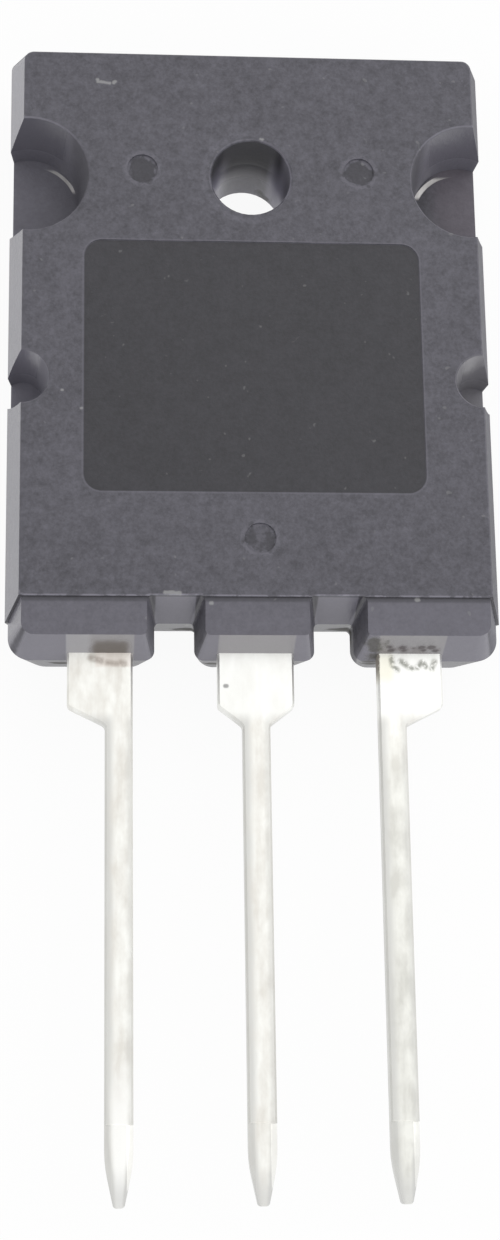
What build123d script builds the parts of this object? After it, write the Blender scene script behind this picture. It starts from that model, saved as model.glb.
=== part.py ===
from build123d import *
import os

# Power transistor in a flat moulded package with one screw hole and three leads.
# Frame: the origin is on the screw hole's axis, in the plane of the heatsink face.
# +Y points away from the leads, +Z points out of the marked face. Millimetres.

# Leads
LEAD_Z = 2.8               # heatsink face to the underside of the leads
LEAD_THICK = 0.6
LEAD_PITCH = 5.45
LEAD_WIDTH = 1.1
LEAD_LENGTH = 21.2         # from the end of the lead blocks to the tips
SHOULDER_LENGTH = 2.0      # the wide part outside the moulding
SHOULDER_TAPER = 0.75      # how far the shoulder takes to narrow to the lead
MID_SHOULDER = 3.05
OUTER_SHOULDER = 2.6
SHOULDER_ROUND = 0.25
TIP_LENGTH = 1.6           # the pointed end
TIP_WIDTH = 0.4
TIP_ROUND = 5.0            # the point swells a little, as a pressed end does
TIP_CORNER = 0.15
LEAD_EDGE = 0.08           # the bevel along the upper edges
COIN_LENGTH = 3.1          # the flattened end, measured from the tip
COIN_DEPTH = 0.05
COIN_FLAT = 0.6            # the width left flat between its bevelled sides
COIN_SLOPE = 0.5           # how steeply those sides fall

# Moulding
BODY_WIDTH = 20.0          # at the parting line
BODY_THICK = 5.0
BODY_TOP = 6.15            # hole axis to the top end, at the parting line
BLOCK_END = 20.1           # hole axis to the end of the lead blocks, at the parting line
SLOT_DEPTH = 1.53          # how far the lead blocks stand out of the end wall
PARTING_Z = LEAD_Z         # the mould halves meet at the underside of the leads
FRONT_DRAFT = 0.6          # how far the walls lean in at the marked face
BACK_DRAFT = 0.4           # and at the heatsink face
BLOCK_JOG = 0.13           # how far the lead blocks stay inside the body's sides
BLOCK_STEP = 0.13          # how far the blocks' tops lie below the marked face
BLOCK_FALL = 0.06          # how much lower they are at their outer edge
BLOCK_CLEAR = 0.01         # keeps the blocks' cut off the end wall between them
SLOT_WIDTH = 1.6           # between the lead blocks, at the parting line
SLOT_CENTRE = 3.22
SLOT_FRONT_DRAFT = 0.37
SLOT_BACK_DRAFT = 0.2
CORNER_TOP = 0.4
CORNER_SLOT = 0.2
PARTING_CORNERS = (0.9, 0.4)   # the blocks' outer corners and those at the slots
FACE_CORNERS = (0.5, 0.2)
BACK_CORNERS = (1.1, 0.7)
EDGE_BREAK = 0.06          # the small bevel round the marked face and the notches

# Screw hole and what is sunk into the marked face
HOLE_RADIUS = 1.65
HOLE_RIM = 0.1
CLIP_NOTCH_X = 9.2
CLIP_NOTCH_RADIUS = 2.5
CLIP_NOTCH_FLOOR_RADIUS = 2.0
SIDE_NOTCH_X = 9.4
SIDE_NOTCH_Y = -8.85
SIDE_NOTCH_RADIUS = 1.13
SIDE_NOTCH_FLOOR_RADIUS = 0.8
PANEL_WIDTH = 13.8
PANEL_LENGTH = 10.8
PANEL_Y = -8.3
PANEL_CORNER = 0.75
PANEL_DEPTH = 0.04
EJECTOR_RADIUS = 0.63
EJECTOR_DEPTH = 0.08
EJECTOR_PLACES = [(-4.5, 0.3), (4.5, 0.3), (0.15, -15.6)]

# Header
HEADER_THICK = 2.0
HEADER_WIDTH = 18.0
HEADER_TOP = 5.1
HEADER_END = -15.6
HEADER_CORNER = 0.8
HEADER_LIP = 0.35          # how far the hidden flange stands out past the bare face
HEADER_LIP_Z = 0.7
HEADER_HOLE_RADIUS = 2.5

# Inner ends of the leads
CRANK_START = -17.2        # the collector lead starts to drop here
CRANK_LENGTH = 1.6
COLLECTOR_FOOT = 2.4       # length joined to the header
PAD_WIDTH = 3.9
PAD_END = -16.3
PAD_LENGTH = 2.0
PAD_CORNER = 0.3
LOCK_HOLE_RADIUS = 0.45
LOCK_HOLE_Y = -17.7

# Chip and wires
DIE_SIZE = 7.0
DIE_THICK = 0.3
DIE_Y = -6.9
SOLDER_THICK = 0.08
SOLDER_MARGIN = 0.15
BASE_WIRE_RADIUS = 0.15
EMITTER_WIRE_RADIUS = 0.25
WIRE_TOP = 4.2             # height of the wires' centre line at the top of the loop
WIRE_BEND = 0.65
WIRE_SIDES = 8
BASE_WIRE = ((-2.4, -9.4), (-6.0, -17.0))
EMITTER_WIRES = [((0.9, -8.6), (5.2, -17.0)), ((2.5, -8.6), (6.8, -17.0))]

DIE_BOTTOM = HEADER_THICK + SOLDER_THICK
DIE_TOP = DIE_BOTTOM + DIE_THICK
LEAD_TOP = LEAD_Z + LEAD_THICK
LEAD_TIP = -BLOCK_END - LEAD_LENGTH
FRONT_RISE = BODY_THICK - PARTING_Z
ON_BASE = (Align.CENTER, Align.CENTER, Align.MIN)


def rounded_face(corners):
    """A face from its corners, each given as a point and its rounding radius."""
    path = FilletPolyline(
        *[point for point, _ in corners],
        radius=[radius for _, radius in corners],
        close=True,
    )
    return make_face(path)


def outline(draft, slot_draft, corners, z):
    """The body's outline at height z, its walls leaning in from the parting line."""
    corner_end, corner_block = corners
    half = BODY_WIDTH / 2 - draft
    top = BODY_TOP - draft
    end = -BLOCK_END + draft
    wall = end + SLOT_DEPTH
    block_half = half - BLOCK_JOG
    slot_half = SLOT_WIDTH / 2 + slot_draft
    outer, inner = SLOT_CENTRE + slot_half, SLOT_CENTRE - slot_half
    right = [
        ((half, top), CORNER_TOP),
        ((half, wall), 0),
        ((block_half, wall), 0),
        ((block_half, end), corner_end),
        ((outer, end), corner_block),
        ((outer, wall), CORNER_SLOT),
        ((inner, wall), CORNER_SLOT),
        ((inner, end), corner_block),
    ]
    left = [((-x, y), radius) for (x, y), radius in reversed(right)]
    return Pos(0, 0, z) * rounded_face(right + left)


def rim_bevel(radius, rim):
    """What is cut away to bevel the edge of a round recess in the marked face."""
    bevel = Cone(radius, radius + 2 * rim, 2 * rim, align=ON_BASE)
    return Pos(0, 0, BODY_THICK - rim) * bevel


def notch_plug(floor_radius, face_radius):
    """A round notch down to the tab, widening from its floor to the marked face."""
    height = BODY_THICK - HEADER_THICK
    plug = Cone(floor_radius, face_radius, height, align=ON_BASE)
    return Pos(0, 0, HEADER_THICK) * plug + rim_bevel(face_radius, EDGE_BREAK)


def block_tops():
    """What is cut off above the lead blocks to leave their tops below the marked face."""
    lean = FRONT_DRAFT / (FRONT_RISE - EDGE_BREAK)
    wall_y = -BLOCK_END + SLOT_DEPTH + FRONT_DRAFT - lean * (BLOCK_STEP - EDGE_BREAK)
    step_y = wall_y - BLOCK_CLEAR
    low_z = BODY_THICK - BLOCK_STEP
    reach = 2 * SLOT_DEPTH
    fall = BLOCK_FALL * reach / SLOT_DEPTH
    profile = Polyline(
        (step_y, low_z),
        (step_y, BODY_THICK - EDGE_BREAK),
        (step_y + EDGE_BREAK, BODY_THICK),
        (step_y + EDGE_BREAK, BODY_THICK + 1),
        (step_y - reach, BODY_THICK + 1),
        (step_y - reach, low_z - fall),
        close=True,
    )
    return extrude(Plane.YZ * make_face(profile), BODY_WIDTH, both=True)


def mould_blank():
    """The moulding's outer form, before room is made for what it holds."""
    shoulder_z = BODY_THICK - EDGE_BREAK
    face_drafts = (FRONT_DRAFT + EDGE_BREAK, SLOT_FRONT_DRAFT + EDGE_BREAK)
    parting = outline(0, 0, PARTING_CORNERS, PARTING_Z)
    shoulder = outline(FRONT_DRAFT, SLOT_FRONT_DRAFT, FACE_CORNERS, shoulder_z)
    face = outline(*face_drafts, FACE_CORNERS, BODY_THICK)
    back = outline(BACK_DRAFT, SLOT_BACK_DRAFT, BACK_CORNERS, 0)
    blank = loft([parting, shoulder, face], ruled=True) + loft([back, parting], ruled=True)
    blank -= block_tops()
    blank -= Cylinder(HOLE_RADIUS, BODY_THICK, align=ON_BASE) + rim_bevel(HOLE_RADIUS, HOLE_RIM)
    clip = notch_plug(CLIP_NOTCH_FLOOR_RADIUS, CLIP_NOTCH_RADIUS)
    small = notch_plug(SIDE_NOTCH_FLOOR_RADIUS, SIDE_NOTCH_RADIUS)
    for side in (-1, 1):
        blank -= Pos(side * CLIP_NOTCH_X, 0) * clip
        blank -= Pos(side * SIDE_NOTCH_X, SIDE_NOTCH_Y) * small
    for x, y in EJECTOR_PLACES:
        blank -= Pos(x, y, BODY_THICK) * Cylinder(EJECTOR_RADIUS, 2 * EJECTOR_DEPTH)
    panel = Pos(0, PANEL_Y, BODY_THICK - PANEL_DEPTH) * RectangleRounded(
        PANEL_WIDTH, PANEL_LENGTH, PANEL_CORNER
    )
    return blank - extrude(panel, 1)


def header():
    """The copper header: a bare face at the back and a wider flange that the moulding grips."""
    centre_y = (HEADER_TOP + HEADER_END) / 2
    length = HEADER_TOP - HEADER_END
    bare = RectangleRounded(
        HEADER_WIDTH - 2 * HEADER_LIP, length - 2 * HEADER_LIP, HEADER_CORNER
    )
    flange = RectangleRounded(HEADER_WIDTH, length, HEADER_CORNER)
    plate = extrude(Pos(0, centre_y) * bare, HEADER_THICK)
    plate += extrude(Pos(0, centre_y, HEADER_LIP_Z) * flange, HEADER_THICK - HEADER_LIP_Z)
    return plate - Cylinder(HEADER_HOLE_RADIUS, 3 * HEADER_THICK)


def lead_edge(wide_x, narrow_x, tip_x, inner_y):
    """One long edge of a lead from its inner end to its tip, as rounded corners."""
    shoulder = -BLOCK_END - SHOULDER_LENGTH
    step = [
        ((wide_x, shoulder), SHOULDER_ROUND),
        ((narrow_x, shoulder - SHOULDER_TAPER), SHOULDER_ROUND),
    ]
    if wide_x == narrow_x:
        step = []
    point = [
        ((narrow_x, LEAD_TIP + TIP_LENGTH), TIP_ROUND),
        ((tip_x, LEAD_TIP), TIP_CORNER),
    ]
    return [((wide_x, inner_y), 0)] + step + point


def lead_plan(wide, narrow, inner_y):
    """A lead seen from above. Wide and narrow are its left and right edges there."""
    middle = sum(narrow) / 2
    left = lead_edge(wide[0], narrow[0], middle - TIP_WIDTH / 2, inner_y)
    right = lead_edge(wide[1], narrow[1], middle + TIP_WIDTH / 2, inner_y)
    return rounded_face(right + left[::-1])


def lead_profile(inner):
    """A lead seen from its side: the inner end's points, then the coined tip."""
    coin = LEAD_TIP + COIN_LENGTH
    points = inner + [
        (LEAD_TIP, LEAD_Z),
        (LEAD_TIP, LEAD_TOP - COIN_DEPTH),
        (coin - COIN_DEPTH, LEAD_TOP - COIN_DEPTH),
        (coin, LEAD_TOP),
    ]
    profile = Plane.YZ * make_face(Polyline(*points, close=True))
    return extrude(profile, BODY_WIDTH, both=True)


def coined_sides(middle):
    """What is pressed off both upper edges of a lead's end, middle being its centre."""
    fall = (LEAD_WIDTH - COIN_FLAT / 2) * COIN_SLOPE
    top = LEAD_TOP - COIN_DEPTH
    coin_end = LEAD_TIP + COIN_LENGTH - COIN_DEPTH
    wedges = Part()
    for side in (-1, 1):
        section = Polyline(
            (middle + side * COIN_FLAT / 2, top),
            (middle + side * LEAD_WIDTH, top),
            (middle + side * LEAD_WIDTH, top - fall),
            close=True,
        )
        plane = Plane.XZ.offset(-coin_end)
        wedges += extrude(plane * make_face(section), COIN_LENGTH)
    return wedges


def stamped(plan, middle, inner):
    """A lead cut from strip to its plan and its profile, edges bevelled and end coined."""
    blank = extrude(plan, LEAD_TOP)
    blank = chamfer(blank.faces().sort_by(Axis.Z)[-1].edges(), LEAD_EDGE)
    return (blank & lead_profile(inner)) - coined_sides(middle)


def collector_lead():
    """The middle lead, cranked down to a foot on the header."""
    drop = LEAD_Z - HEADER_THICK
    crank_end = CRANK_START + CRANK_LENGTH
    foot_end = crank_end + COLLECTOR_FOOT
    inner = [
        (CRANK_START, LEAD_TOP),
        (crank_end, LEAD_TOP - drop),
        (foot_end, LEAD_TOP - drop),
        (foot_end, HEADER_THICK),
        (crank_end, HEADER_THICK),
        (CRANK_START, LEAD_Z),
    ]
    half, narrow = MID_SHOULDER / 2, LEAD_WIDTH / 2
    plan = lead_plan((-half, half), (-narrow, narrow), foot_end)
    return stamped(plan, 0, inner)


def outer_lead(side):
    """The base lead (side -1) or the emitter lead (side 1), with its bonding pad."""
    near = side * (LEAD_PITCH - LEAD_WIDTH / 2)
    far = near + side * OUTER_SHOULDER
    wide = sorted((near, far))
    narrow = sorted((near, near + side * LEAD_WIDTH))
    plan = lead_plan(wide, narrow, PAD_END - PAD_LENGTH)
    inner = [(PAD_END, LEAD_TOP), (PAD_END, LEAD_Z)]
    pad_x = (near + far) / 2
    pad = Pos(pad_x, PAD_END - PAD_LENGTH / 2) * RectangleRounded(
        PAD_WIDTH, PAD_LENGTH, PAD_CORNER
    )
    lead = stamped(plan + pad, sum(narrow) / 2, inner)
    return lead - Pos(pad_x, LOCK_HOLE_Y) * Cylinder(LOCK_HOLE_RADIUS, 3 * BODY_THICK)


def bond_wire(places, radius):
    """A wire that rises from the chip, runs level and drops to a bonding pad."""
    (x0, y0), (x1, y1) = places
    path = FilletPolyline(
        (x0, y0, DIE_TOP),
        (x0, y0, WIRE_TOP),
        (x1, y1, WIRE_TOP),
        (x1, y1, LEAD_TOP),
        radius=WIRE_BEND,
    )
    return sweep(Pos(x0, y0, DIE_TOP) * RegularPolygon(radius, WIRE_SIDES), path=path)


def slab(size, z, thick):
    """A square plate of the given thickness under the chip's place."""
    return extrude(Pos(0, DIE_Y, z) * Rectangle(size, size), thick)


def make_parts():
    """Every piece by name. The moulding is made last, round the others."""
    parts = {
        "heat_spreader": header(),
        "collector_lead": collector_lead(),
        "base_lead": outer_lead(-1),
        "emitter_lead": outer_lead(1),
        "die_solder": slab(DIE_SIZE + 2 * SOLDER_MARGIN, HEADER_THICK, SOLDER_THICK),
        "silicon_die": slab(DIE_SIZE, DIE_BOTTOM, DIE_THICK),
        "base_bond_wire": bond_wire(BASE_WIRE, BASE_WIRE_RADIUS),
    }
    for number, places in enumerate(EMITTER_WIRES, 1):
        parts[f"emitter_bond_wire_{number}"] = bond_wire(places, EMITTER_WIRE_RADIUS)
    mould = mould_blank()
    for piece in parts.values():
        mould -= piece
    parts["mould_body"] = mould
    return parts


os.makedirs("parts", exist_ok=True)
for name, piece in make_parts().items():
    export_step(piece, f"parts/{name}.step")
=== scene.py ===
"""Finishes, light and camera for a flat moulded power transistor.

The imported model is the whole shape. This script gives each piece its finish:
grained epoxy with a smoother marking panel, tinned leads with moulding residue
at their roots, and a dull header showing in the notches. Lengths are in
millimetres in the part's own frame, and MM turns them into metres.
"""

import math

import bpy
from mathutils import Euler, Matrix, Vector


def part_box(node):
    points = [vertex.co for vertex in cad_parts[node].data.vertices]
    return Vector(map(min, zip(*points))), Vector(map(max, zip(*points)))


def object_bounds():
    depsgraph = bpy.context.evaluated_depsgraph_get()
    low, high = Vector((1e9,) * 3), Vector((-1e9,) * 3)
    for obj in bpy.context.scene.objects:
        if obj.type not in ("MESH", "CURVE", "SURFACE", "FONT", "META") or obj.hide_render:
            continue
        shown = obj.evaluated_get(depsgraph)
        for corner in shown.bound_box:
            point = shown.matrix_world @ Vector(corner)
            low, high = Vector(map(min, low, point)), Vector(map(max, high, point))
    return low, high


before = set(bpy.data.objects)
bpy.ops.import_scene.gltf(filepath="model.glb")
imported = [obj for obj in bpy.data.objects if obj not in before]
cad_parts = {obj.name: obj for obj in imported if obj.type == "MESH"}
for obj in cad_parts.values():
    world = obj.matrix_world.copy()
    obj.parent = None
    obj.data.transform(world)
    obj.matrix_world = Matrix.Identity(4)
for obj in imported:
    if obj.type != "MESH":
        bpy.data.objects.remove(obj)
cad_low, cad_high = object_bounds()

MM = 0.001


def box_mm(node):
    """A node's lowest and highest corners in millimetres."""
    low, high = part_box(node)
    return low / MM, high / MM


MOULD_LOW, MOULD_HIGH = box_mm("mould_body")
LEAD_LOW = box_mm("base_lead")[0]
FACE_Z = MOULD_HIGH.z
HALF_WIDTH = MOULD_HIGH.x
BLOCK_END_Y = MOULD_LOW.y
TAB_Z = box_mm("heat_spreader")[1].z
PARTING_Z = LEAD_LOW.z
TIP_Y = LEAD_LOW.y

# What is sunk into the marked face
PANEL_CENTRE = (0.0, -8.3)
PANEL_HALF = (6.9, 5.4)
PANEL_ROUND = 0.75
HOLE_PLACE = (0.0, 0.0)
HOLE_RADIUS = 1.65
CLIP_NOTCHES = ((9.2, 0.0), (-9.2, 0.0))
NOTCH_FLOOR_RADIUS = 2.0
NOTCH_RIM_RADIUS = 2.56
SIDE_NOTCHES = ((9.4, -8.85), (-9.4, -8.85))
SIDE_NOTCH_RADIUS = 1.19
EJECTOR_PLACES = ((-4.5, 0.3), (4.5, 0.3), (0.15, -15.6))
EJECTOR_RADIUS = 0.63

# The lead blocks, the slots between them and the leads
STEP_Y = BLOCK_END_Y + 2.1
BLOCK_TOP_Z = FACE_Z - 0.13
SLOT_WALL_Y = BLOCK_END_Y + 1.53
SLOT_X = 3.22
SLOT_HALF = 0.8
LEAD_PITCH = 5.45
MID_SHOULDER_HALF = 1.52
OUTER_SHOULDER = (4.9, 7.5)
SHOULDER_END_Y = BLOCK_END_Y - 2.75
COIN_Y = TIP_Y + 3.1

# Wear and dirt, and dark spots that are partly painted shade. A stroke has two ends and a half
# width, and a ball a centre and a radius.
FACE_STROKES = (
    ((-6.34, 4.21), (-5.86, 4.14), 0.02),
    ((-6.34, 4.21), (-6.36, 4.3), 0.03),
    ((-5.68, 4.17), (-5.62, 4.22), 0.03),
    ((-3.67, -17.86), (-3.07, -17.88), 0.03),
    ((-1.86, -18.26), (-1.8, -18.26), 0.03),
    ((6.33, -18.08), (6.4, -18.08), 0.04),
    ((-7.76, -9.46), (-7.74, -9.46), 0.01),
    ((-6.98, -10.23), (-6.96, -10.23), 0.01),
    ((0.42, 1.73), (0.5, 1.71), 0.01),
)
CHIPS = (
    ((-2.65, -18.5, 2.3), 0.08),
    ((3.95, -18.5, 2.1), 0.1),
)
# Dark spots of grime with painted shade: beside the leads' roots, low in the slots and low in
# the screw hole
GRIME_AND_SHADE = (
    ((4.68, -19.7, 4.45), 0.1),
    ((4.74, -19.75, 4.1), 0.15),
    ((4.78, -19.95, 3.7), 0.13),
    ((5.06, -19.75, 4.2), 0.0),
    ((4.76, -20.0, 3.2), 0.16),
    ((4.72, -19.95, 2.5), 0.18),
    ((4.8, -20.0, 1.8), 0.15),
    ((-2.62, -18.5, 0.8), 0.4),
    ((3.83, -18.5, 0.9), 0.45),
    ((-7.75, -19.95, 1.7), 0.3),
    ((-1.65, -20.0, 1.6), 0.22),
    ((0.75, 1.42, 0.4), 0.06),
    ((0.95, 1.3, 0.15), 0.08),
)
FACET_CRUMBS = (
    ((5.32, -19.85, 3.95), 0.08),
    ((5.42, -19.95, 3.7), 0.12),
    ((5.86, -19.85, 3.9), 0.1),
    ((5.95, -19.95, 3.68), 0.08),
    ((6.32, -19.9, 3.85), 0.04),
    ((6.62, -19.85, 3.92), 0.1),
    ((6.72, -19.95, 3.7), 0.09),
    ((7.02, -19.85, 3.92), 0.12),
    ((7.2, -19.95, 3.68), 0.1),
)
LEAD_CRUMBS = (
    ((5.46, -20.1), (5.5, -20.4), 0.03),
    ((5.5, -20.42), (5.7, -20.6), 0.02),
    ((5.84, -20.24), (6.0, -20.36), 0.04),
    ((6.04, -20.42), (6.3, -20.54), 0.02),
    ((6.5, -20.5), (6.68, -20.28), 0.03),
    ((6.7, -20.28), (6.84, -20.46), 0.03),
    ((7.2, -20.26), (7.08, -20.54), 0.03),
)
BASE_SMEARS = (
    ((-6.55, -20.14), (-6.15, -20.26), 0.02),
    ((-5.9, -20.33), (-5.5, -20.37), 0.0),
    ((-5.36, -20.33), (-5.24, -20.38), 0.02),
)
SIDE_GRIME = ((4.88, -20.0), (4.86, -21.3), 0.06)
LEAD_DOT = ((-1.23, -21.27), (-1.17, -21.27), 0.04)

# Patches, each between two values of X or Y
RESIDUE_X = (-6.25, -5.3)        # brown, on the end wall over the base lead
RESIDUE_LIMITS_X = (-6.6, -5.0)  # no brown outside these
SMUDGE_X = (5.1, 7.25)           # grey, on the end wall over the emitter lead
BLUSH_X = (-6.3, -5.0)           # pinkish, at the base lead's root
CREAM_X = (4.8, 5.4)             # creamy, at the emitter lead's root
CREAM_Y = (-20.8, -20.2)
CRESCENT_Y = (0.65, 1.45)        # bright metal in the clip notches

# Changes of tone, each from where it starts to where it is complete
LEAD_REFLECTION_X = (-6.75, -6.45)     # the painted reflection of the leads turns darker, from the left
GREYER_LEAD_Y = (-22.5, -26.0)   # the emitter lead turns greyer
SIDE_GRIME_Y = (-21.3, -20.4)    # the grime on its left edge thickens
NOTCH_HIGHLIGHT_Y = (0.8, 2.2)      # the clip notches' rims get a painted highlight
LEFT_NOTCH_LIGHT_X = (-7.0, -7.4)       # the film in the left clip notch is painted paler, as painted light
RIGHT_NOTCH_LIGHT_X = (7.6, 8.6)        # and so is the right one's
LOW_MARK_Y = (-14.0, -15.0)      # the ejector mark at the leads begins

PLAIN_WHITE = (1, 1, 1, 1)


class Signal:
    """A shader socket that takes arithmetic. Each operator adds its Math node."""

    def __init__(self, nodes, socket):
        self.nodes = nodes
        self.socket = socket

    def __add__(self, other):
        return self.nodes.math("ADD", self, other)

    __radd__ = __add__

    def __mul__(self, other):
        return self.nodes.math("MULTIPLY", self, other)

    __rmul__ = __mul__

    def __sub__(self, other):
        return self.nodes.math("SUBTRACT", self, other)

    def __rsub__(self, other):
        return self.nodes.math("SUBTRACT", other, self)

    def __truediv__(self, other):
        return self.nodes.math("DIVIDE", self, other)

    def __pow__(self, other):
        return self.nodes.math("POWER", self, other)

    def __abs__(self):
        return self.nodes.math("ABSOLUTE", self)

    def least(self, other):
        return self.nodes.math("MINIMUM", self, other)

    def most(self, other):
        return self.nodes.math("MAXIMUM", self, other)

    def wrapped(self, low, high):
        """The value carried round into the range from low to high."""
        return self.nodes.math("WRAP", self, high, low)

    def rise(self, start, end):
        """0 below start, 1 above end, smooth between. It falls if start is above end."""
        sockets = {"Value": self, "From Min": start, "From Max": end}
        settings = {"interpolation_type": "SMOOTHSTEP"}
        return self.nodes.node("ShaderNodeMapRange", settings, sockets)

    def band(self, low, high, soft):
        """1 between low and high, fading to 0 over soft outside them."""
        return self.rise(low - soft, low) * self.rise(high + soft, high)

    def choose(self, colour_off, colour_on):
        """One colour where this is 0 and another where it is 1."""
        sockets = {"Factor_Float": self, "A_Color": colour_off, "B_Color": colour_on}
        settings = {"data_type": "RGBA"}
        return self.nodes.node("ShaderNodeMix", settings, sockets, "Result_Color")


class Shading:
    """A node tree that is written as expressions."""

    def __init__(self, owner):
        owner.use_nodes = True
        self.tree = owner.node_tree
        self.tree.nodes.clear()

    def node(self, kind, settings=None, sockets=None, output=0):
        """Adds a node: its settings first, then the values or links of its sockets."""
        node = self.tree.nodes.new(kind)
        for name, value in (settings or {}).items():
            setattr(node, name, value)
        for name, value in (sockets or {}).items():
            self.fill(find_socket(node.inputs, name), value)
        return Signal(self, find_socket(node.outputs, output)) if node.outputs else None

    def fill(self, socket, value):
        """Links a signal to a socket, or sets the socket to a plain value."""
        if isinstance(value, Signal):
            self.tree.links.new(value.socket, socket)
        else:
            socket.default_value = value

    def math(self, operation, *values):
        settings = {"operation": operation}
        return self.node("ShaderNodeMath", settings, dict(enumerate(values)))

    def seen_directly(self):
        """1 for the eye, a gloss or a clear material, and 0 for light on a matt surface."""
        eye, gloss, clear = (
            self.node("ShaderNodeLightPath", output=f"Is {ray} Ray")
            for ray in ("Camera", "Glossy", "Transmission")
        )
        return eye.most(gloss).most(clear)


class Finish(Shading):
    """A procedural material, with the part's own millimetres as x, y and z."""

    def __init__(self, name):
        self.material = bpy.data.materials.new(name)
        super().__init__(self.material)
        metres = self.node("ShaderNodeTexCoord", output="Object")
        scaled = {0: metres, "Scale": 1 / MM}
        self.place = self.node("ShaderNodeVectorMath", {"operation": "SCALE"}, scaled)
        self.x, self.y, self.z = self.parts(self.place)
        facing = self.node("ShaderNodeTexCoord", output="Normal")
        self.face_x, self.face_y, self.face_z = self.parts(facing)

    def parts(self, vector):
        """A vector's X, Y and Z."""
        return [
            self.node("ShaderNodeSeparateXYZ", None, {0: vector}, axis) for axis in "XYZ"
        ]

    def noise(self, size, detail=2.0, roughness=0.5, stretch=(1, 1, 1), offset=0.0):
        """Cloudy noise from 0 to 1 whose blotches are about size millimetres across."""
        drawn_out = {0: self.place, 1: stretch}
        place = self.node("ShaderNodeVectorMath", {"operation": "MULTIPLY"}, drawn_out)
        moved = {0: place, 1: (offset, offset, offset)}
        sockets = {
            "Vector": self.node("ShaderNodeVectorMath", {"operation": "ADD"}, moved),
            "Scale": 1 / size,
            "Detail": detail,
            "Roughness": roughness,
        }
        return self.node("ShaderNodeTexNoise", None, sockets, "Fac")

    def distance(self, centre):
        """How far a point lies from a spot, seen along Z."""
        across = self.x - centre[0]
        along = self.y - centre[1]
        return (across * across + along * along) ** 0.5

    def nearest(self, places):
        """How far a point lies from the nearest of several spots, seen along Z."""
        gap = self.distance(places[0])
        for place in places[1:]:
            gap = gap.least(self.distance(place))
        return gap

    def strokes(self, places, soft, ragged=0.0):
        """1 along straight strokes seen from above, each two ends and a half width."""
        masks = []
        for start, end, half in places:
            run, climb = end[0] - start[0], end[1] - start[1]
            across, along = self.x - start[0], self.y - start[1]
            share = (across * run + along * climb) / (run * run + climb * climb)
            share = share.most(0).least(1)
            gap = ((across - share * run) ** 2 + (along - share * climb) ** 2) ** 0.5
            masks.append((gap + ragged).rise(half + soft, half))
        return most_of(masks)

    def balls(self, places, soft, ragged):
        """1 in the balls, each a centre and a radius."""
        masks = []
        for centre, radius in places:
            ends = {0: self.place, 1: centre}
            settings = {"operation": "DISTANCE"}
            gap = self.node("ShaderNodeVectorMath", settings, ends, "Value")
            masks.append((gap + ragged).rise(radius + soft, radius))
        return most_of(masks)

    def bump(self, height_mm, strength):
        """A normal that stands up by height_mm."""
        sockets = {"Height": height_mm * MM, "Strength": strength, "Distance": 1.0}
        return self.node("ShaderNodeBump", None, sockets)

    def shade(self, **sockets):
        """The Principled shader and the output. Underscores stand for spaces."""
        named = {name.replace("_", " "): value for name, value in sockets.items()}
        shader = self.node("ShaderNodeBsdfPrincipled", None, named)
        self.node("ShaderNodeOutputMaterial", None, {"Surface": shader})

    def dress(self, *nodes):
        """Puts the finish on the named pieces."""
        for name in nodes:
            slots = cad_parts[name].data.materials
            slots.clear()
            slots.append(self.material)


def find_socket(sockets, name):
    """A socket by its number, its identifier or its name."""
    if isinstance(name, int):
        return sockets[name]
    for socket in sockets:
        if socket.identifier == name:
            return socket
    return sockets[name]


def most_of(signals):
    """The highest of several signals."""
    top = signals[0]
    for signal in signals[1:]:
        top = top.most(signal)
    return top


def layered(colour, *layers):
    """A colour with tones laid over it in turn, each with its mask and its share."""
    for mask, share, tone in layers:
        colour = (mask * share).choose(colour, tone)
    return colour


def grey(level, warmth=0.0):
    """A near-grey colour. Warmth above 0 leans to yellow and below 0 to blue."""
    return (level * (1 + warmth), level, level * (1 - warmth), 1.0)


def epoxy_grey(level):
    """The moulding compound's grey, which leans to violet."""
    return (level * 1.03, level, level * 1.2, 1.0)


# Finishes

# painted reflection of the leads on the end facets over them
LEAD_REFLECTION_GREY_LEFT = (0.36, 0.355, 0.375, 1)
LEAD_REFLECTION_GREY = (0.3, 0.29, 0.3, 1)
# painted light in the small side notches
SIDE_NOTCH_PAINTED_LIGHT = (0.22, 0.215, 0.235, 1)
# painted light on the clip notches' film
NOTCH_FILM_PAINTED_LIGHT = (0.14, 0.12, 0.145, 1)
BROWN_RESIDUE = (0.13, 0.112, 0.095, 1)
GREY_SMUDGE = (0.14, 0.12, 0.125, 1)
DARK_CRUMB = (0.075, 0.062, 0.066, 1)
# grime, also used as painted shade
OLIVE_GRIME_AND_SHADE = (0.065, 0.062, 0.048, 1)


def panel_depth(f):
    """How far inside the panel's rounded outline a point lies."""
    across = abs(f.x - PANEL_CENTRE[0]) - (PANEL_HALF[0] - PANEL_ROUND)
    along = abs(f.y - PANEL_CENTRE[1]) - (PANEL_HALF[1] - PANEL_ROUND)
    outside = (across.most(0) ** 2 + along.most(0) ** 2) ** 0.5
    return PANEL_ROUND - outside - across.most(along).least(0)


def near_face(f):
    """1 in the layer under the marked face that holds the panel's floor."""
    return f.z.rise(FACE_Z - 0.3, FACE_Z - 0.2)


def over_leads(f):
    """1 where X is within the width of a lead's shoulder."""
    middle = abs(f.x).rise(MID_SHOULDER_HALF + 0.05, MID_SHOULDER_HALF - 0.05)
    return middle.most(abs(f.x).band(*OUTER_SHOULDER, 0.08))


def on_right(f):
    """0 on the left half of the part and 1 on the right half."""
    return f.x.rise(-1.0, 1.0)


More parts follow.
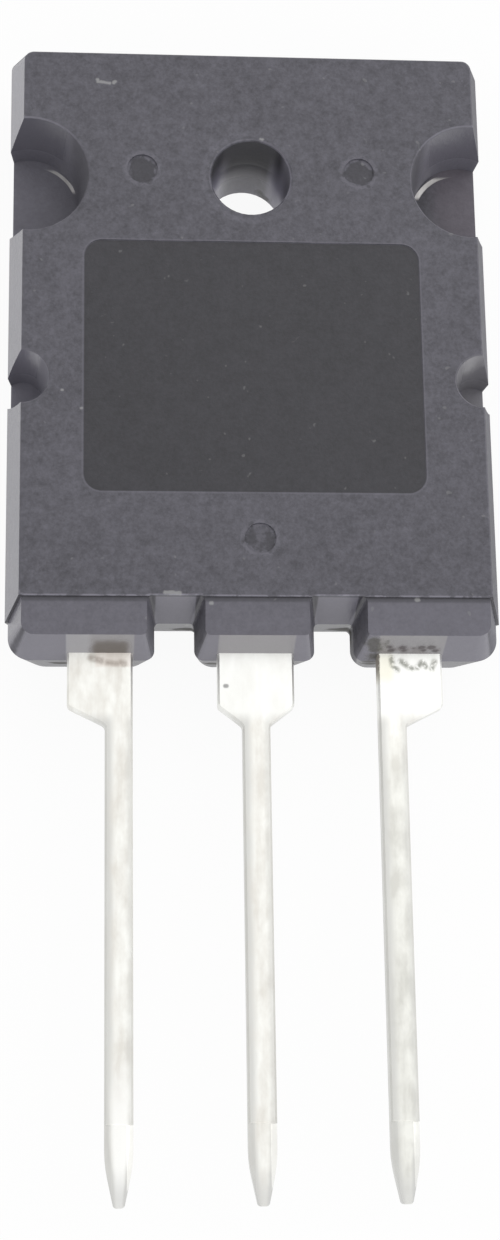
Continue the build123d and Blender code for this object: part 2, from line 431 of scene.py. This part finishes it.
def grain(f, calm=1.0):
    """Fine and coarse grain, and the tone they make. Calm holds the tone even."""
    fine = f.noise(0.15, 3.0, 0.7)
    coarse = f.noise(0.45, 3.0, 0.6, offset=7.0)
    cloud = f.noise(4.0, 3.0, 0.5, offset=31.0)
    tone = 0.5 + ((fine - 0.5) * 1.2 + (coarse - 0.5) * 1.1) * calm + (cloud - 0.5) * 0.3
    return fine, coarse, tone


def grained_grey(tone):
    """The epoxy's own colour for a tone of its grain."""
    return tone.choose(epoxy_grey(0.047), epoxy_grey(0.123))


def painted_notch_light(f, colour, mask):
    """Painted light: the film on the left clip notch's floor and on the right one's outer part
    is painted paler.
    """
    return layered(
        colour,
        (mask * f.x.rise(*RIGHT_NOTCH_LIGHT_X), 0.5, NOTCH_FILM_PAINTED_LIGHT),
        (mask * f.x.rise(*LEFT_NOTCH_LIGHT_X), 0.45, epoxy_grey(0.19)),
    )


def walls(f, colour, end_wall, upper_half):
    """Painted light on the lead-end walls with a painted reflection of the leads, on the block
    tops, right-facing sides and left wall, painted shade in the slot corners, and where the
    walls are glossy.
    """
    at_block_end = f.y.rise(SLOT_WALL_Y - 0.6, SLOT_WALL_Y - 0.8)
    end_facet = end_wall * upper_half * at_block_end
    lead_reflection_grey = f.x.rise(*LEAD_REFLECTION_X).choose(LEAD_REFLECTION_GREY_LEFT, LEAD_REFLECTION_GREY)
    slot_wall = end_wall * upper_half * (1 - at_block_end)
    from_slot = abs(abs(f.x) - SLOT_X)
    slot_corner = slot_wall * from_slot.rise(SLOT_HALF - 0.04, SLOT_HALF + 0.04)
    on_blocks = f.y.rise(STEP_Y, STEP_Y - 0.1)
    block_top = on_blocks * f.face_z.rise(0.8, 0.9)
    right_side = on_blocks * f.face_x.rise(0.6, 0.85)
    left_wall = f.face_x.rise(-0.8, -0.93) * f.x.rise(-HALF_WIDTH + 0.9, -HALF_WIDTH + 0.7)
    painted_left_light = f.y.rise(0, 4).choose(epoxy_grey(0.22), epoxy_grey(0.26))
    colour = layered(
        colour,
        # painted light: the block tops lighter, more so on the right
        (block_top, 0.35 + f.x.rise(2, 4) * 0.1, epoxy_grey(0.18)),
        # painted reflection of the pale floor: the end facets and the slot walls are painted
        # paler
        (end_facet, 0.8, epoxy_grey(0.2)),
        # painted reflection of the tinned leads on the facets over them, lighter at the far left
        (end_facet * over_leads(f), 0.8, lead_reflection_grey),
        (slot_wall, 0.8, epoxy_grey(0.2)),
        # painted shade in the slot corners
        (slot_corner, 0.75, epoxy_grey(0.02)),
        # painted light on the block sides that face right
        (right_side, 0.4, epoxy_grey(0.16)),
        # painted light on the left wall, lighter from Y 0 towards Y 4
        (left_wall, 0.6, painted_left_light),
    )
    return colour, end_facet.most(slot_wall).most(left_wall)


def bore(f, colour):
    """The screw hole's wall with painted shade at its mouth, painted light lower down and in
    streaks at both sides, and where it is.
    """
    inside = f.distance(HOLE_PLACE).rise(HOLE_RADIUS + 0.05, HOLE_RADIUS + 0.03)
    # painted light in streaks down the left and right of the wall
    bore_left_light = f.x.rise(-0.6, -1.2)
    bore_right_light = f.x.band(1.1, 1.45, 0.3) * 0.8
    streak = bore_left_light.most(bore_right_light) * f.z.rise(4.4, 1.0)
    # painted shade near the mouth fading to painted light lower down, paler still at the far
    # right
    painted_wall_grey = layered(
        f.z.rise(3.0, -0.3).choose(epoxy_grey(0.04), epoxy_grey(0.4)),
        (f.x.rise(1.25, 1.5), 0.5, epoxy_grey(0.3)),
        (streak, 0.85, epoxy_grey(0.8)),
    )
    return (inside * 0.95).choose(colour, painted_wall_grey), inside


def notches(f, colour, on_face):
    """The notches' walls and floors, with painted light and shade on them. The body's outer
    sides keep their own tone.
    """
    steep = f.face_z.rise(0.8, 0.5)
    right = on_right(f)
    outer_side = abs(f.x).rise(HALF_WIDTH - 0.7, HALF_WIDTH - 0.5) * abs(f.face_x).rise(0.5, 0.8)
    sunk = f.z.rise(TAB_Z - 0.06, TAB_Z - 0.02) * (1 - outer_side)

    from_clip = f.nearest(CLIP_NOTCHES)
    clip_wall = from_clip.rise(NOTCH_RIM_RADIUS + 0.02, NOTCH_RIM_RADIUS - 0.04) * steep * sunk
    clip_floor = from_clip.rise(NOTCH_RIM_RADIUS, NOTCH_RIM_RADIUS - 0.1) * (1 - steep)
    # painted light on the clip notches' walls, stronger in the right notch, with painted shade
    # on their innermost part
    painted_wall_grey = right.choose(epoxy_grey(0.15), epoxy_grey(0.19))
    painted_wall_grey = abs(f.x).rise(7.6, 7.1).choose(painted_wall_grey, epoxy_grey(0.07))
    colour = (clip_wall * 0.6).choose(colour, painted_wall_grey)
    colour = painted_notch_light(f, colour, clip_floor * (1 - on_face))

    from_side = f.nearest(SIDE_NOTCHES)
    side = from_side.rise(SIDE_NOTCH_RADIUS + 0.02, SIDE_NOTCH_RADIUS - 0.04) * sunk
    # painted light: the side notches' floors and walls are painted lighter
    return layered(
        colour,
        (side * (1 - on_face), 0.8, right.choose(epoxy_grey(0.21), SIDE_NOTCH_PAINTED_LIGHT)),
        (side * steep, 0.6, right.choose(epoxy_grey(0.15), SIDE_NOTCH_PAINTED_LIGHT)),
    )


def ejector_marks(f, colour, coarse, on_face):
    """A broken light ring round a dark, uneven floor, paler in the mark at the leads."""
    ragged = f.nearest(EJECTOR_PLACES) + (coarse - 0.5) * 0.9
    mark = ragged.rise(EJECTOR_RADIUS, EJECTOR_RADIUS - 0.2) * on_face
    ring = ragged.band(EJECTOR_RADIUS - 0.02, EJECTOR_RADIUS + 0.14, 0.08)
    paler = mark * f.y.rise(*LOW_MARK_Y) * coarse.rise(0.42, 0.68)
    return layered(
        colour,
        (mark, coarse * 1.4 - 0.05, epoxy_grey(0.03)),
        (ring * coarse.rise(0.35, 0.55), 0.4, epoxy_grey(0.17)),
        (paler, 0.45, epoxy_grey(0.18)),
    )


def edge_highlights(f, colour, fine, coarse, on_face):
    """Painted highlights on the bevels, broken up, and a faint painted highlight left of the
    hole.
    """
    from_hole = f.distance(HOLE_PLACE)
    # painted highlights along the face's bevels, stronger at the lead end, round the hole and on
    # the clip notches' rims
    edge = f.face_z.band(0.55, 0.85, 0.1) * f.z.rise(FACE_Z - 0.12, FACE_Z - 0.08)
    broken_up = coarse.rise(0.4, 0.55)
    end_edge = f.y.rise(STEP_Y + 0.3, STEP_Y + 0.15) * broken_up
    hole_edge = from_hole.rise(HOLE_RADIUS + 0.25, HOLE_RADIUS + 0.2) * broken_up
    notch_edge = f.nearest(CLIP_NOTCHES).rise(NOTCH_RIM_RADIUS + 0.1, NOTCH_RIM_RADIUS)
    notch_edge = notch_edge * f.y.rise(*NOTCH_HIGHLIGHT_Y)
    highlight = edge * (0.05 + end_edge * 0.3 + hole_edge * 0.12 + notch_edge * 0.15)
    hole_highlight = from_hole.band(HOLE_RADIUS + 0.25, HOLE_RADIUS + 0.4, 0.12) * f.x.rise(1.2, -0.8)
    highlight = highlight.most(hole_highlight * on_face * (fine * 0.12))
    return highlight.choose(colour, epoxy_grey(0.4))


def mould_dirt_and_shade(f, colour, fine, coarse, upper_end):
    """The colour with painted shade in the step's corner, dark spots of grime and painted shade,
    other dirt and flecks on it, and where the dirt and those spots dull the surface.
    """
    # painted shade in the concave corner where the face steps down to the block tops
    step_shade = f.z.band(BLOCK_TOP_Z, FACE_Z - 0.07, 0.02)
    step_shade = step_shade * f.y.band(STEP_Y - 0.15, STEP_Y + 0.15, 0.1)
    ragged = (fine - 0.5) * 0.12
    residue = f.x.band(*RESIDUE_X, 0.45) * f.z.rise(4.8, 3.8) + (coarse - 0.5) * 0.6
    residue = residue.rise(0.0, 1.0) * upper_end * f.x.band(*RESIDUE_LIMITS_X, 0.2)
    smudge = f.x.band(*SMUDGE_X, 0.25) * f.z.rise(4.15, 3.75) * upper_end
    crumbs = f.balls(FACET_CRUMBS, 0.14, ragged) * upper_end
    # grime spots that also stand as painted shade in corners beside the leads, in the slots and
    # in the hole
    grime_and_shade = f.balls(GRIME_AND_SHADE, 0.3, (coarse - 0.5) * 0.7) * (fine * 0.8 + 0.5)
    flecks = f.strokes(FACE_STROKES, 0.08, ragged) * near_face(f)
    flecks = flecks.most(f.balls(CHIPS, 0.1, ragged))
    colour = layered(
        colour,
        (step_shade, 0.6, epoxy_grey(0.03)),
        (residue, 0.8, BROWN_RESIDUE),
        (smudge * coarse.rise(0.3, 0.6), 0.65, GREY_SMUDGE),
        (crumbs, 0.75, DARK_CRUMB),
        (grime_and_shade, 0.8, OLIVE_GRIME_AND_SHADE),
        (flecks, 0.55, grey(0.4)),
    )
    return colour, grime_and_shade.most(crumbs).most(residue)


def epoxy():
    """Grained dark grey epoxy with a smoother marking panel, painted highlights on its edges,
    painted light and shade on its walls, notches and hole, and dirt.
    """
    f = Finish("moulded_epoxy")
    on_face = near_face(f) * f.face_z.rise(0.4, 0.6)
    depth = panel_depth(f)
    panel = depth.rise(-0.01, 0.04) * on_face
    panel_rim_highlight = depth.band(-0.03, 0.0, 0.06) * on_face
    calm = 1 - panel * 0.15
    fine, coarse, tone = grain(f, calm)
    end_wall = f.face_y.rise(-0.6, -0.8)
    upper_half = f.z.rise(PARTING_Z - 0.05, PARTING_Z + 0.05)
    lower_wall = end_wall * (1 - upper_half)

    colour = layered(
        grained_grey(tone),
        (panel, 1, tone.choose(epoxy_grey(0.017), epoxy_grey(0.041))),
        # a painted highlight along the panel's sunk edge
        (panel_rim_highlight, 0.3, epoxy_grey(0.17)),
    )
    colour, glossy = walls(f, colour, end_wall, upper_half)
    colour, in_bore = bore(f, colour)
    colour = notches(f, colour, on_face)
    colour = ejector_marks(f, colour, coarse, on_face)
    colour = edge_highlights(f, colour, fine, coarse, on_face)
    colour, dirt_and_shade = mould_dirt_and_shade(f, colour, fine, coarse, end_wall * upper_half)
    dust = f.noise(0.35, 1.0, 0.4, offset=53.0).rise(0.74, 0.8) * calm * on_face
    colour = (dust * 0.25).choose(colour, grey(0.3))

    rough = 0.6 - glossy * 0.38 - lower_wall * 0.25 - panel * 0.1 + dirt_and_shade * 0.35
    rough = rough + in_bore * (f.z.rise(0.43, 3.5) * 0.65 - 0.3)
    f.shade(
        Base_Color=colour,
        Roughness=rough,
        Normal=f.bump((fine * 0.6 + coarse * 0.4) * 0.03 * calm, 0.7),
    )
    f.dress("mould_body")


TIN_LIGHT = (0.95, 0.95, 0.91, 1)
TIN_DARK = (0.75, 0.73, 0.68, 1)
WORN_TIN_LIGHT = (0.84, 0.84, 0.79, 1)
WORN_TIN_DARK = (0.6, 0.6, 0.56, 1)
WHITE_TIN = (0.93, 0.94, 0.92, 1)
BRIGHT_TIN = (0.97, 0.97, 0.95, 1)
SHADED_SIDE_TIN = (0.58, 0.58, 0.56, 1)
TIP_TIN = (0.58, 0.58, 0.57, 1)
SHADED_EDGE_TIN = (0.6, 0.6, 0.57, 1)
BLUSHED_TIN = (0.72, 0.62, 0.56, 1)
CREAMY_TIN = (0.84, 0.81, 0.64, 1)
LEAD_SMEAR = (0.42, 0.36, 0.31, 1)
LEAD_SIDE_GRIME = (0.16, 0.13, 0.11, 1)
LEAD_CRUMB = (0.3, 0.31, 0.26, 1)


def tinned_leads():
    """Bright tin plating with painted shade along the leads' sides and edges, dirty at the roots
    with residue from the moulding.
    """
    f = Finish("bright_tin")
    mottle = f.noise(0.7, 3.0, 0.6, stretch=(1.0, 0.5, 1.0))
    streak = f.noise(0.3, 2.0, 0.5, stretch=(1.0, 0.1, 1.0), offset=11.0)
    specks = f.noise(0.15, 2.0, 0.6, offset=23.0)

    # The sides of each narrow lead are painted greyer than its middle, as painted shade, the
    # left one more so, and the light middle narrows towards the tip
    taper = f.y.rise(TIP_Y - 0.5, COIN_Y) * 0.6 + 0.4
    across = f.x.wrapped(-LEAD_PITCH / 2, LEAD_PITCH / 2) / taper + (mottle - 0.5) * 0.3
    narrow = f.y.rise(SHOULDER_END_Y + 0.6, SHOULDER_END_Y)
    left_side = across.rise(-0.1, -0.45)
    right_side = across.rise(0.2, 0.45) * (0.6 + f.y.rise(COIN_Y + 0.3, COIN_Y - 0.3) * 0.4)
    sides = left_side.most(right_side) * narrow
    past_base_lead = f.x.rise(-3.0, -2.0)
    on_emitter_lead = f.x.rise(3.0, 4.0)
    on_base_lead = f.x.rise(-4.0, -5.0)
    worn = on_emitter_lead * f.y.rise(*GREYER_LEAD_Y)
    white_shoulder = past_base_lead * (1 - narrow)
    foot = on_base_lead * f.y.rise(COIN_Y + 3.0, COIN_Y)
    tip = f.y.rise(TIP_Y + 1.6, TIP_Y + 0.3)
    # painted shade on the faces that tip away from flat
    edge = f.face_z.rise(0.85, 0.7)

    # Residue: pinkish smears on the base lead, grey crumbs on the emitter lead
    ragged = (specks - 0.5) * 0.2
    blush = f.y.rise(BLOCK_END_Y - 0.45, BLOCK_END_Y - 0.35) * f.x.band(*BLUSH_X, 0.15)
    cream = f.x.band(*CREAM_X, 0.25) * f.y.band(*CREAM_Y, 0.5)
    smears = f.strokes(BASE_SMEARS, 0.2, ragged) * (specks.rise(0.3, 0.6) * 0.5 + 0.5)
    side_grime = f.strokes((SIDE_GRIME,), 0.06, ragged) * f.y.rise(*SIDE_GRIME_Y)
    crumbs = f.strokes(LEAD_CRUMBS, 0.16, ragged) * specks.rise(0.3, 0.62)
    dot = f.strokes((LEAD_DOT,), 0.08)
    residue = smears.most(crumbs).most(dot).most(side_grime)

    tone = 0.5 + (mottle - 0.5) * 2.8 + (streak - 0.5) * 1.2
    colour = layered(
        tone.choose(TIN_LIGHT, TIN_DARK),
        (white_shoulder, 0.6, WHITE_TIN),
        (worn, 0.75, tone.choose(WORN_TIN_LIGHT, WORN_TIN_DARK)),
        (sides, 0.75, SHADED_SIDE_TIN),
        (foot * (1 - sides), 0.8, BRIGHT_TIN),
        (tip, 0.6, TIP_TIN),
        (edge, 0.2, SHADED_EDGE_TIN),
        (blush, 0.4, BLUSHED_TIN),
        (cream, 0.5, CREAMY_TIN),
        (smears, 0.65, LEAD_SMEAR),
        (side_grime, 0.8, LEAD_SIDE_GRIME),
        (crumbs, 0.75, LEAD_CRUMB),
        (dot, 0.8, grey(0.3)),
    )
    f.shade(
        Base_Color=colour,
        Metallic=1 - residue * 0.7,
        Roughness=0.32 + (mottle - 0.5) * 0.2 + residue * 0.3,
        Normal=f.bump(mottle * 0.015 + streak * 0.005, 0.4),
    )
    f.dress("collector_lead", "base_lead", "emitter_lead")


def header_plate():
    """Dull tinned copper, filmed over in the notches but for a bright crescent, with painted
    light and shade on the film.
    """
    f = Finish("dull_tinned_copper")
    right = on_right(f)

    # Each crescent is a short arc just inside the edge of the notch's floor
    flattened = f.nearest(CLIP_NOTCHES) + f.y * 0.16
    middle = NOTCH_FLOOR_RADIUS + 0.05 - right * 0.05
    half = 0.06 + right * 0.03
    crescent = flattened.band(middle - half, middle + half, 0.04) * f.y.band(*CRESCENT_Y, 0.2)
    crescent = crescent * (0.75 + right * 0.25)
    film = f.z.rise(TAB_Z - 0.3, TAB_Z - 0.1) * (1 - crescent)

    brushed = f.noise(0.3, 3.0, 0.6, stretch=(1.0, 0.05, 1.0))
    cloud = f.noise(1.2, 3.0, 0.6, offset=5.0)
    tone = (brushed * 0.5 + cloud * 0.5).rise(0.3, 0.7)
    bare = tone.choose(grey(0.5, 0.03), grey(0.72, 0.02))

    fine, coarse, film_tone = grain(f)
    shaded_inner = abs(f.x).rise(8.2, 7.3)
    small = f.nearest(SIDE_NOTCHES).rise(SIDE_NOTCH_RADIUS, SIDE_NOTCH_RADIUS - 0.1)
    # painted shade, blotchy, on the inner part of the notch floors near their walls
    dull = layered(
        grained_grey(film_tone),
        (shaded_inner, 0.4, epoxy_grey(0.05)),
        (shaded_inner * coarse.rise(0.5, 0.62), 0.5, epoxy_grey(0.02)),
    )
    dull = painted_notch_light(f, dull, 1)
    # painted light on the header in the side notches, more on the right
    dull = (small * (0.35 + right * 0.2)).choose(dull, epoxy_grey(0.24))
    f.shade(
        Base_Color=film.choose(bare, dull),
        Metallic=1 - film,
        Roughness=0.36 + cloud * 0.1 + film * 0.15,
        Normal=f.bump(brushed * 0.005 + fine * film * 0.018, 0.6),
    )
    f.dress("heat_spreader")


def hidden_pieces():
    """The chip, its solder and its wires, which the moulding hides."""
    chip = Finish("polished_silicon")
    cells = chip.noise(0.4, 2.0, 0.5)
    colour = cells.choose(grey(0.1, -0.1), grey(0.2, -0.12))
    chip.shade(Base_Color=colour, Roughness=0.2 + cells * 0.1)
    chip.dress("silicon_die")

    solder = Finish("dull_solder")
    cloud = solder.noise(0.8, 3.0, 0.6)
    colour = cloud.choose(grey(0.35), grey(0.55))
    solder.shade(Base_Color=colour, Metallic=1.0, Roughness=0.4 + cloud * 0.2)
    solder.dress("die_solder")

    wire = Finish("drawn_aluminium")
    drawn = wire.noise(0.1, 2.0, 0.5)
    colour = drawn.choose(grey(0.7), grey(0.9))
    wire.shade(Base_Color=colour, Metallic=1.0, Roughness=0.3 + drawn * 0.1)
    wire.dress("base_bond_wire", "emitter_bond_wire_1", "emitter_bond_wire_2")


# Stage, light and camera. A lamp has its place, the point it faces, its width and power.

BACKDROP_SHARE = 0.93      # how much of the floor is plain white to the eye
FLOOR_COLOUR = grey(0.93)
FLOOR_WIDTH = 1200
FLOOR_DROP = 0.03          # keeps the floor off the heatsink face
WORLD_LIGHT = 0.75
LAMPS = {
    "key": ((190, 120, 165), (0, -15, 0), 420, 0.36),
    "fill": ((110, -240, 150), (0, -15, 0), 400, 0.15),
}
CAMERA_PLACE = (-7.0, -41.0, 90.0)
CAMERA_TURN = (14.55, -4.27, -0.85)
CAMERA_LENS = 65.0


def white_world():
    world = bpy.data.worlds.new("studio")
    w = Shading(world)
    strength = WORLD_LIGHT + w.seen_directly() * (1 - WORLD_LIGHT)
    sockets = {"Color": PLAIN_WHITE, "Strength": strength}
    background = w.node("ShaderNodeBackground", None, sockets)
    w.node("ShaderNodeOutputWorld", None, {"Surface": background})
    bpy.context.scene.world = world


def pale_floor():
    """A pale floor, mostly plain white to the eye, that keeps the part's soft shadow."""
    place = (0, 0, cad_low.z - FLOOR_DROP * MM)
    bpy.ops.mesh.primitive_plane_add(size=FLOOR_WIDTH * MM, location=place)
    floor = bpy.context.object
    floor.name = "floor"
    material = bpy.data.materials.new("pale_floor")
    f = Shading(material)
    matt = f.node("ShaderNodeBsdfDiffuse", None, {"Color": FLOOR_COLOUR})
    plain = f.node("ShaderNodeEmission", None, {"Color": PLAIN_WHITE})
    share = f.seen_directly() * BACKDROP_SHARE
    mix = f.node("ShaderNodeMixShader", None, {0: share, 1: matt, 2: plain})
    f.node("ShaderNodeOutputMaterial", None, {"Surface": mix})
    floor.data.materials.append(material)


def soft_lamp(name, place, aim, width, power):
    light = bpy.data.lights.new(name, "AREA")
    light.energy = power
    light.size = width * MM
    lamp = bpy.data.objects.new(name, light)
    lamp.location = Vector(place) * MM
    facing = Vector(aim) - Vector(place)
    lamp.rotation_euler = facing.to_track_quat("-Z", "Y").to_euler()
    bpy.context.scene.collection.objects.link(lamp)


def camera():
    """Above the lead end and a little to the left, as the part is held to be read."""
    data = bpy.data.cameras.new("camera")
    data.lens = CAMERA_LENS
    data.sensor_width = 36.0
    data.clip_start = 1 * MM
    data.clip_end = 5.0
    eye = bpy.data.objects.new("camera", data)
    eye.location = Vector(CAMERA_PLACE) * MM
    eye.rotation_euler = Euler([math.radians(turn) for turn in CAMERA_TURN])
    bpy.context.scene.collection.objects.link(eye)
    bpy.context.scene.camera = eye


epoxy()
tinned_leads()
header_plate()
hidden_pieces()
white_world()
pale_floor()
for name, (place, aim, width, power) in LAMPS.items():
    soft_lamp(name, place, aim, width, power)
camera()
bpy.context.scene.view_settings.view_transform = "Standard"
